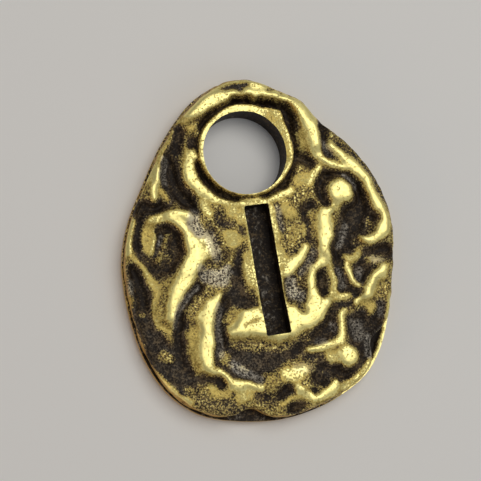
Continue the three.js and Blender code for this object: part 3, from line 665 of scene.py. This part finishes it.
def cut(piece, cutter, operation="DIFFERENCE"):
    """Cuts the piece with the cutter and removes the cutter."""
    make_active(piece)
    modifier = piece.modifiers.new("cut", "BOOLEAN")
    modifier.operation = operation
    modifier.solver = "MANIFOLD"
    modifier.object = cutter
    bpy.ops.object.modifier_apply(modifier=modifier.name)
    bpy.data.objects.remove(cutter)


def bore_cutter(low, high):
    middle = (low + high) / 2
    bpy.ops.mesh.primitive_cylinder_add(
        vertices=BORE_STEPS, radius=BORE_RADIUS, depth=high - low, location=(BORE_X, BORE_Y, middle))
    cutter = start_piece("bore_cutter")
    bpy.ops.object.transform_apply(location=True, rotation=True, scale=True)
    return cutter


def slot_cutter(low, high):
    middle = (SLOT_TOP + SLOT_BOTTOM) / 2
    bpy.ops.mesh.primitive_cube_add(size=1, location=(0, middle, (low + high) / 2))
    cutter = start_piece("slot_cutter")
    cutter.scale = (2 * SLOT_HALF_WIDTH, SLOT_TOP - SLOT_BOTTOM, high - low)
    bpy.ops.object.transform_apply(location=True, rotation=True, scale=True)
    select_edges(cutter, lambda a, b: abs(a.z - b.z) > 1e-3)
    bpy.ops.mesh.bevel(offset=SLOT_CORNER, segments=4, affect="EDGES")
    bpy.ops.mesh.select_all(action="SELECT")
    bpy.ops.transform.rotate(value=-SLOT_LEAN, orient_axis="Z", center_override=(0, SLOT_TOP, 0))
    bpy.ops.object.mode_set(mode="OBJECT")
    return cutter


def vertex_array(piece):
    co = np.empty(len(piece.data.vertices) * 3)
    piece.data.vertices.foreach_get("co", co)
    return co.reshape(-1, 3)


def set_vertices(piece, co):
    piece.data.vertices.foreach_set("co", co.ravel())
    piece.data.update()


def store(piece, name, values):
    attribute = piece.data.attributes.new(name, "FLOAT", "POINT")
    attribute.data.foreach_set("value", values.astype(np.float32))


def store_cut_walls(piece):
    """Marks the upright faces of the bore and the slot, which keep their patina."""
    middles = np.array([face.center for face in piece.data.polygons])
    upright = np.array([abs(face.normal.z) < 0.3 for face in piece.data.polygons])
    at_bore = np.abs(around_bore(middles[:, 0], middles[:, 1])[1]) < 0.03
    at_slot = np.abs(past_slot(middles[:, 0], middles[:, 1])) < 0.05
    attribute = piece.data.attributes.new("cut_wall", "FLOAT", "FACE")
    attribute.data.foreach_set("value", (upright & (at_bore | at_slot)).astype(np.float32))


def to_metres(piece):
    make_active(piece)
    piece.scale = (MM, MM, MM)
    bpy.ops.object.transform_apply(location=True, rotation=True, scale=True)


def slice_flat(piece, height):
    """Cuts away what lies below a height and closes the cut flat."""
    make_active(piece)
    bpy.ops.object.mode_set(mode="EDIT")
    bpy.ops.mesh.select_all(action="SELECT")
    bpy.ops.mesh.bisect(plane_co=(0, 0, height), plane_no=(0, 0, 1), use_fill=True, clear_inner=True)
    bpy.ops.object.mode_set(mode="OBJECT")


# ---- the two pieces
PLATE_LINE = smooth_outline(OUTLINE, OUTLINE_MARKS)
FACE_LINE = inset_outline(PLATE_LINE)


def press_face(piece):
    """Presses the blank's top to the relief, and makes its side wall wander."""
    co = vertex_array(piece)
    x, y, z = co.T.copy()
    share = np.clip((z - PLATE_TOP) / FACE_BLANK, 0, 1)
    wall = 1 - smooth(share, 0.75, 0.98)
    level = field_at(LEVEL, x, y)
    level += 0.65 * (BASE_LEVEL - level) * wall
    co[:, 2] = np.where(z > PLATE_TOP, PLATE_TOP + share * level, z)
    outward = np.stack([x, y], 1) / np.maximum(np.hypot(x, y), 1)[:, None]
    swell = sum(amount * lumps(x + turn * z, y - turn * z, size, 11 + i)
                for i, (amount, size, turn) in enumerate(SIDE_SWELL))
    co[:, :2] += outward * (swell * wall)[:, None]
    set_vertices(piece, co)


def store_face_wear(piece):
    """Stores the rub and painted sheen of the top, and the rub of the side wall, brighter on the left as
    painted reflected light.
    """
    x, y, z = vertex_array(piece).T
    depth = PLATE_TOP + field_at(LEVEL, x, y) - z
    clear = (past_slot(x, y) > NEAR_CUT) & (around_bore(x, y)[1] > NEAR_CUT)
    side = smooth(depth, 0.25, 0.8) * clear
    # painted reflected light: the side wall is rubbed brighter towards the lower left
    painted_lit_left = 1 - smooth(x + 0.5 * y, -10.0, -4.0)
    side_rub = SIDE_RUB + 0.22 * painted_lit_left + 0.22 * lumps(x + z, y - z, 0.8, 13)
    store(piece, "rub", field_at(RUB, x, y) * (1 - side) + side_rub * side)
    store(piece, "painted_sheen", field_at(PAINTED_GLOSS, x, y))
    store(piece, "side", side)
    store_cut_walls(piece)


def face_casting():
    blank_low = PLATE_TOP - BLANK_SPARE
    blank_high = PLATE_TOP + FACE_BLANK
    piece = outline_block("antiqued_face", FACE_LINE, blank_low, blank_high)
    round_rim(piece, blank_high, EDGE_ROLL, ROLL_SEGMENTS)
    remesh(piece, FACE_VOXEL)
    press_face(piece)
    slice_flat(piece, PLATE_TOP)
    cut(piece, bore_cutter(PLATE_TOP - CUT_SPARE, PLATE_TOP + CUT_HIGH))
    cut(piece, slot_cutter(PLATE_TOP - CUT_SPARE, PLATE_TOP + CUT_HIGH))
    store_face_wear(piece)
    return piece


def plate_slab(name):
    """A flat grid with thickness, larger than the plate, with finer cells under the slot."""
    across = PLATE_HIGH.x - PLATE_LOW.x + PLATE_SPARE
    along = PLATE_HIGH.y - PLATE_LOW.y + PLATE_SPARE
    bpy.ops.mesh.primitive_grid_add(
        x_subdivisions=round(across / PLATE_CELL), y_subdivisions=round(along / PLATE_CELL), size=1)
    piece = start_piece(name)
    piece.scale = (across, along, 1)
    bpy.ops.object.transform_apply(location=True, rotation=True, scale=True)
    bpy.ops.object.mode_set(mode="EDIT")
    bpy.ops.mesh.select_all(action="SELECT")
    bpy.ops.mesh.extrude_region_move(TRANSFORM_OT_translate={"value": (0, 0, PLATE_TOP)})
    bpy.ops.mesh.normals_make_consistent(inside=False)
    bpy.ops.object.mode_set(mode="OBJECT")

    def under_slot(corner):
        return corner.z > PLATE_TOP / 2 and past_slot(corner.x, corner.y) < NEAR_CUT

    select_edges(piece, lambda a, b: under_slot(a) and under_slot(b))
    bpy.ops.mesh.subdivide(number_cuts=1)
    bpy.ops.object.mode_set(mode="OBJECT")
    return piece


def distance_to_outline(x, y):
    across = x[:, None] - PLATE_LINE[None, :, 0]
    along = y[:, None] - PLATE_LINE[None, :, 1]
    return np.min(np.hypot(across, along), 1)


def press_plate(piece):
    """Roughens the top, with the slot's stepped floor and the trench, and dents the back."""
    co = vertex_array(piece)
    x, y, z = co.T.copy()
    top = z > PLATE_TOP / 2
    along_slot = in_slot_frame(x, y)[1]
    step_down = 0.1 * smooth(FLOOR_STEP - along_slot, -0.1, 0.1)
    floor = 0.10 + layered(x, y, FLOOR_LUMPS, 20) - step_down
    rough = -np.abs(0.06 * lumps(x, y, 0.5, 24))
    from_edge = distance_to_outline(x, y)
    at_gap = np.exp(-(np.hypot(x - TRENCH[0], y - TRENCH[1]) / TRENCH_RADIUS) ** 2)
    inside_rim = smooth(from_edge, 0.3, 0.55) * (1 - smooth(from_edge, 1.2, 1.6))
    trench = TRENCH_DEPTH * at_gap * inside_rim
    co[:, 2] += top * (np.where(past_slot(x, y) < 0.05, floor, rough) - trench)
    dents = 0.03 + layered(x, y, BACK_DENTS, 22)
    co[:, 2] += ~top * np.maximum(dents, 0.0)
    set_vertices(piece, co)


def store_plate_wear(piece):
    """Stores how far the plate is rubbed at its rim, wall and back, blackened as a painted shadow in its
    trench, and its painted sheen.
    """
    x, y, z = vertex_array(piece).T
    nearest = distance_to_outline(x, y)
    rim = 1 - smooth(nearest, 0.05, 0.3)
    low_rim = rim * (z < SEAM_LOW + 0.02)
    open_wall = rim * smooth(y + 0.6 * x, -17.0, -12.0)
    bared_rim = (1 - smooth(nearest, 0.25, 0.45)) * smooth(x, 3.0, 7.0)
    wall_rub = np.maximum(0.5 * open_wall, np.maximum(0.65 * low_rim, bared_rim))
    handled = 0.32 + layered(x, y, BACK_WEAR, 26) + 0.15 * (1 - smooth(nearest, 0.3, 2.5))
    under = 1 - smooth(z, 0.0, 0.3)
    top_side = (z > 0.25) & (nearest > 0.4)
    # painted shadow: the patina in the sunk trench is pushed to black
    painted_trench_shadow = 0.5 * smooth(PLATE_TOP - z, 0.15, 0.35) * top_side
    store(piece, "rub", np.clip(0.03 + wall_rub + handled * under - painted_trench_shadow, -0.3, 1))
    store(piece, "side", low_rim)
    # painted reflection: grey flecks of painted sheen on the slot floor, left of its middle
    painted_glint = smooth(lumps(x, y, 0.3, 25), 0.1, 0.8)
    left_of_slot = 1 - smooth(in_slot_frame(x, y)[0], 0.1, 0.6)
    store(piece, "painted_sheen", 0.5 * painted_glint * left_of_slot)
    store_cut_walls(piece)


def back_plate():
    piece = plate_slab("dark_back_plate")
    press_plate(piece)
    block = outline_block("plate_block", PLATE_LINE, PLATE_LOW.z, SEAM_LOW, PLATE_TOP + BLOCK_SPARE)
    round_rim(block, PLATE_LOW.z, PLATE_ROLL, PLATE_SEGMENTS)
    cut(piece, block, "INTERSECT")
    cut(piece, bore_cutter(PLATE_LOW.z - CUT_SPARE, PLATE_TOP + CUT_SPARE))
    store_plate_wear(piece)
    return piece


# ---- materials
def new_node(tree, kind, **settings):
    """A node placed in columns, in the order of making."""
    column, row = divmod(len(tree.nodes), 8)
    node = tree.nodes.new(kind)
    node.location = (200 * column - 2100, -250 * row)
    for name, value in settings.items():
        setattr(node, name, value)
    return node


def noise(tree, coords, scale, detail, roughness):
    """A noise texture whose lumps number scale to the metre."""
    node = new_node(tree, "ShaderNodeTexNoise")
    node.inputs["Scale"].default_value = scale
    node.inputs["Detail"].default_value = detail
    node.inputs["Roughness"].default_value = roughness
    tree.links.new(coords, node.inputs["Vector"])
    return node.outputs["Fac"]


def attribute(tree, name):
    return new_node(tree, "ShaderNodeAttribute", attribute_name=name).outputs["Fac"]


def math_node(tree, operation, a, b, clamp=False):
    node = new_node(tree, "ShaderNodeMath", operation=operation, use_clamp=clamp)
    for socket, value in zip(node.inputs, (a, b)):
        if isinstance(value, (int, float)):
            socket.default_value = value
        else:
            tree.links.new(value, socket)
    return node.outputs[0]


def times(tree, a, b):
    return math_node(tree, "MULTIPLY", a, b)


def plus(tree, a, b):
    return math_node(tree, "ADD", a, b)


def mix_colour(tree, factor, low, high):
    """low where the factor is 0, high where it is 1."""
    node = new_node(tree, "ShaderNodeMix", data_type="RGBA")
    tree.links.new(factor, node.inputs["Factor"])
    for socket, value in ((node.inputs[6], low), (node.inputs[7], high)):
        if isinstance(value, tuple):
            socket.default_value = (*value, 1)
        else:
            tree.links.new(value, socket)
    return node.outputs[2]


def mix_value(tree, factor, low, high):
    """low where the factor is 0, high where it is 1."""
    node = new_node(tree, "ShaderNodeMapRange")
    tree.links.new(factor, node.inputs["Value"])
    node.inputs["To Min"].default_value = low
    node.inputs["To Max"].default_value = high
    return node.outputs["Result"]


def step(tree, value, low, high):
    """0 below low, 1 above high."""
    node = new_node(tree, "ShaderNodeMapRange", interpolation_type="SMOOTHSTEP")
    tree.links.new(value, node.inputs["Value"])
    node.inputs["From Min"].default_value = low
    node.inputs["From Max"].default_value = high
    return node.outputs["Result"]


def centred(tree, value, spread):
    """A noise value moved from 0..1 to -spread/2..spread/2."""
    return times(tree, math_node(tree, "SUBTRACT", value, 0.5), spread)


BRASS_BRIGHT = (0.98, 0.86, 0.34)
BRASS_SATIN = (0.66, 0.51, 0.15)
BRASS_OLIVE = (0.30, 0.21, 0.06)
# painted reflection: the pale grey cream that painted sheen gives bare metal
BRASS_PAINTED_SHEEN = (0.90, 0.83, 0.64)
# orange-brown of the side walls: partly tarnish, partly a painted warm reflection
BRASS_TARNISH_AND_REFLECTION = (0.50, 0.27, 0.075)
PATINA_BLACK = (0.014, 0.008, 0.004)
PATINA_BROWN = (0.140, 0.094, 0.044)
# painted reflection: the grey of glinting flecks on the patina
PATINA_PAINTED_SHEEN = (0.47, 0.43, 0.36)
GRAINS_PER_METRE = 5200
BLOTCHES_PER_METRE = 1300
BARE = (0.32, 0.44)  # rub at which metal shows through the patina
SATIN = (0.36, 0.64)  # tone at which the metal turns from olive to satin
SHINE = (0.60, 0.90)  # and from satin to bright
BROWNED = (0.50, 0.95)
PAINTED_FLECK_RANGE = (0.40, 0.62)
PAINTED_SHEEN_GREYING = 0.8  # how far the painted sheen greys bare metal, as painted glints
TARNISH_AND_REFLECTION_SHARE = 0.7  # how far the side walls turn orange-brown, partly tarnish and partly a painted warm reflection
PLAIN_ROUGHNESS = 0.50
POLISHED_ROUGHNESS = 0.40
GRAIN_STRENGTH = 0.7
GRAIN_DEPTH = 0.00007


def wear_specks(tree, rub, fine):
    """Specks that are strongest where the patina breaks up, and pits where the metal is brightest."""
    rising = step(tree, rub, 0.08, 0.30)
    falling = mix_value(tree, step(tree, rub, 0.42, 0.58), 3.2, 0.8)
    pitted = mix_value(tree, step(tree, rub, 0.70, 0.95), 0.8, 1.2)
    broken = times(tree, rising, falling)
    spread = math_node(tree, "MAXIMUM", broken, pitted)
    return centred(tree, fine, spread)


def brass_colour(tree, tone, shine, painted_sheen, tarnish_and_reflection):
    satin = step(tree, tone, *SATIN)
    brass = mix_colour(tree, satin, BRASS_OLIVE, BRASS_SATIN)
    brass = mix_colour(tree, shine, brass, BRASS_BRIGHT)
    # painted reflection: painted sheen greys bare metal like glints
    brass = mix_colour(tree, times(tree, painted_sheen, PAINTED_SHEEN_GREYING), brass, BRASS_PAINTED_SHEEN)
    # the side walls' orange-brown is partly tarnish and partly a painted warm reflection
    return mix_colour(tree, tarnish_and_reflection, brass, BRASS_TARNISH_AND_REFLECTION)


def patina_colour(tree, rub, fine, blotch, painted_flecks):
    """Near black where rub is low, which is partly the patina's own colour and partly painted shade in
    the hollows; browner where it is shallow, with grey flecks of painted reflection where painted sheen
    lies.
    """
    mottle = plus(tree, blotch, centred(tree, fine, 1.2))
    shallow = plus(tree, mottle, times(tree, rub, 0.9))
    browned = step(tree, shallow, *BROWNED)
    patina = mix_colour(tree, browned, PATINA_BLACK, PATINA_BROWN)
    return mix_colour(tree, painted_flecks, patina, PATINA_PAINTED_SHEEN)


def cast_grain(tree, fine, blotch, polish):
    """A bump of fine pores that polish smooths."""
    pores = plus(tree, fine, times(tree, blotch, 0.8))
    rough = times(tree, pores, mix_value(tree, polish, 1.3, 0.30))
    bump = new_node(tree, "ShaderNodeBump")
    bump.inputs["Strength"].default_value = GRAIN_STRENGTH
    bump.inputs["Distance"].default_value = GRAIN_DEPTH
    tree.links.new(rough, bump.inputs["Height"])
    return bump.outputs["Normal"]


def antiqued_brass(name):
    """Brass that is worn bright where rub is high and keeps a near-black patina where it is low."""
    material = bpy.data.materials.new(name)
    material.use_nodes = True
    tree = material.node_tree
    shader = tree.nodes["Principled BSDF"]
    shader.inputs["Specular IOR Level"].default_value = 0.2
    coords = new_node(tree, "ShaderNodeTexCoord").outputs["Object"]
    open_face = math_node(tree, "SUBTRACT", 1.0, attribute(tree, "cut_wall"))
    rub = times(tree, attribute(tree, "rub"), open_face)
    # painted sheen: painted reflection and painted light stored on the pieces
    painted_sheen = attribute(tree, "painted_sheen")
    tarnish_and_reflection = times(tree, attribute(tree, "side"), TARNISH_AND_REFLECTION_SHARE)
    fine = noise(tree, coords, GRAINS_PER_METRE, 3, 0.7)
    blotch = noise(tree, coords, BLOTCHES_PER_METRE, 3, 0.6)

    uneven = plus(tree, rub, centred(tree, blotch, 0.40))
    specks = wear_specks(tree, rub, fine)
    bare = step(tree, plus(tree, uneven, specks), *BARE)
    tone = plus(tree, uneven, times(tree, specks, 1.3))
    shine = step(tree, tone, *SHINE)
    polish = times(tree, bare, shine)
    # painted reflection: grey metallic flecks where painted sheen lies
    painted_flecks = times(tree, painted_sheen, step(tree, fine, *PAINTED_FLECK_RANGE))
    metal = math_node(tree, "MAXIMUM", bare, painted_flecks)

    brass = brass_colour(tree, tone, shine, painted_sheen, tarnish_and_reflection)
    patina = patina_colour(tree, rub, fine, blotch, painted_flecks)
    for socket, value in (
        ("Base Color", mix_colour(tree, bare, patina, brass)),
        ("Roughness", mix_value(tree, polish, PLAIN_ROUGHNESS, POLISHED_ROUGHNESS)),
        ("Metallic", math_node(tree, "SUBTRACT", metal, tarnish_and_reflection, True)),
        ("Normal", cast_grain(tree, fine, blotch, polish)),
    ):
        tree.links.new(value, shader.inputs[socket])
    return material


def pale_floor():
    material = bpy.data.materials.new("pale_floor")
    material.use_nodes = True
    shader = material.node_tree.nodes["Principled BSDF"]
    shader.inputs["Base Color"].default_value = (0.90, 0.89, 0.87, 1)
    shader.inputs["Roughness"].default_value = 0.8
    return material


def dress(piece, material):
    piece.data.materials.clear()
    piece.data.materials.append(material)
    make_active(piece)
    bpy.ops.object.shade_smooth_by_angle(angle=math.radians(40))


# ---- stage
CAMERA_AZIMUTH = math.radians(-57)
CAMERA_ELEVATION = math.radians(73)
CAMERA_ROLL = math.radians(-8.7)
CAMERA_DISTANCE = 0.160
LOOK_AT = Vector((-0.0021, 0.0006, 0.0024))
LENS = 124.8
FLOOR_GAP = 0.00002  # the floor lies this far under the token
WORLD_COLOUR = (0.78, 0.80, 0.84, 1)
WORLD_STRENGTH = 0.27

# Square lights: name, place along the camera's right, up and back, size, power, colour.
LIGHTS = [
    ("key", (0.20, 0.20, 0.32), 0.34, 0.77, (1.0, 0.97, 0.90)),
    ("fill", (0.30, -0.20, 0.20), 0.20, 0.07, (0.96, 0.98, 1.0)),
    ("low", (-0.26, -0.16, 0.14), 0.16, 0.22, (1.0, 0.62, 0.32)),
]


def camera():
    back = Vector((
        math.sin(CAMERA_AZIMUTH) * math.cos(CAMERA_ELEVATION),
        -math.cos(CAMERA_AZIMUTH) * math.cos(CAMERA_ELEVATION),
        math.sin(CAMERA_ELEVATION),
    ))
    level_up = Vector((0, 1, 0))
    level_up = (level_up - back * level_up.dot(back)).normalized()
    level_right = level_up.cross(back)
    right = math.cos(CAMERA_ROLL) * level_right + math.sin(CAMERA_ROLL) * level_up
    up = back.cross(right)
    turn = Matrix((right, up, back)).transposed().to_4x4()
    bpy.ops.object.camera_add()
    view = bpy.context.object
    view.name = "camera"
    view.matrix_world = Matrix.Translation(LOOK_AT + back * CAMERA_DISTANCE) @ turn
    view.data.sensor_width = 36
    view.data.lens = LENS
    view.data.clip_start = 0.001
    bpy.context.scene.camera = view
    return right, up, back


def softbox(name, place, size, power, colour):
    """A square area light that faces the token."""
    bpy.ops.object.light_add(type="AREA", location=place)
    light = bpy.context.object
    light.name = name
    light.rotation_euler = (-Vector(place)).to_track_quat("-Z", "Y").to_euler()
    light.data.shape = "SQUARE"
    light.data.size = size
    light.data.energy = power
    light.data.color = colour


def stage():
    bpy.ops.mesh.primitive_plane_add(size=1.2, location=(0, 0, -FLOOR_GAP))
    floor = start_piece("floor")
    bpy.ops.object.transform_apply(location=True)
    dress(floor, pale_floor())
    right, up, back = camera()
    for name, (across, along, away), size, power, colour in LIGHTS:
        softbox(name, right * across + up * along + back * away, size, power, colour)
    world = bpy.data.worlds.new("studio")
    world.use_nodes = True
    background = world.node_tree.nodes["Background"]
    background.inputs["Color"].default_value = WORLD_COLOUR
    background.inputs["Strength"].default_value = WORLD_STRENGTH
    bpy.context.scene.world = world
    bpy.context.scene.view_settings.view_transform = "Standard"


# ---- make it
deselect_all()
face = face_casting()
plate = back_plate()
to_metres(face)
to_metres(plate)
dress(face, antiqued_brass("antiqued_brass"))
dress(plate, antiqued_brass("dark_brass"))

for made, node, finish in (
    (face, "face_casting", "antiqued_brass"),
    (plate, "back_plate", "dark_brass"),
):
    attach(made, "root")
    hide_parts(node)

stage()
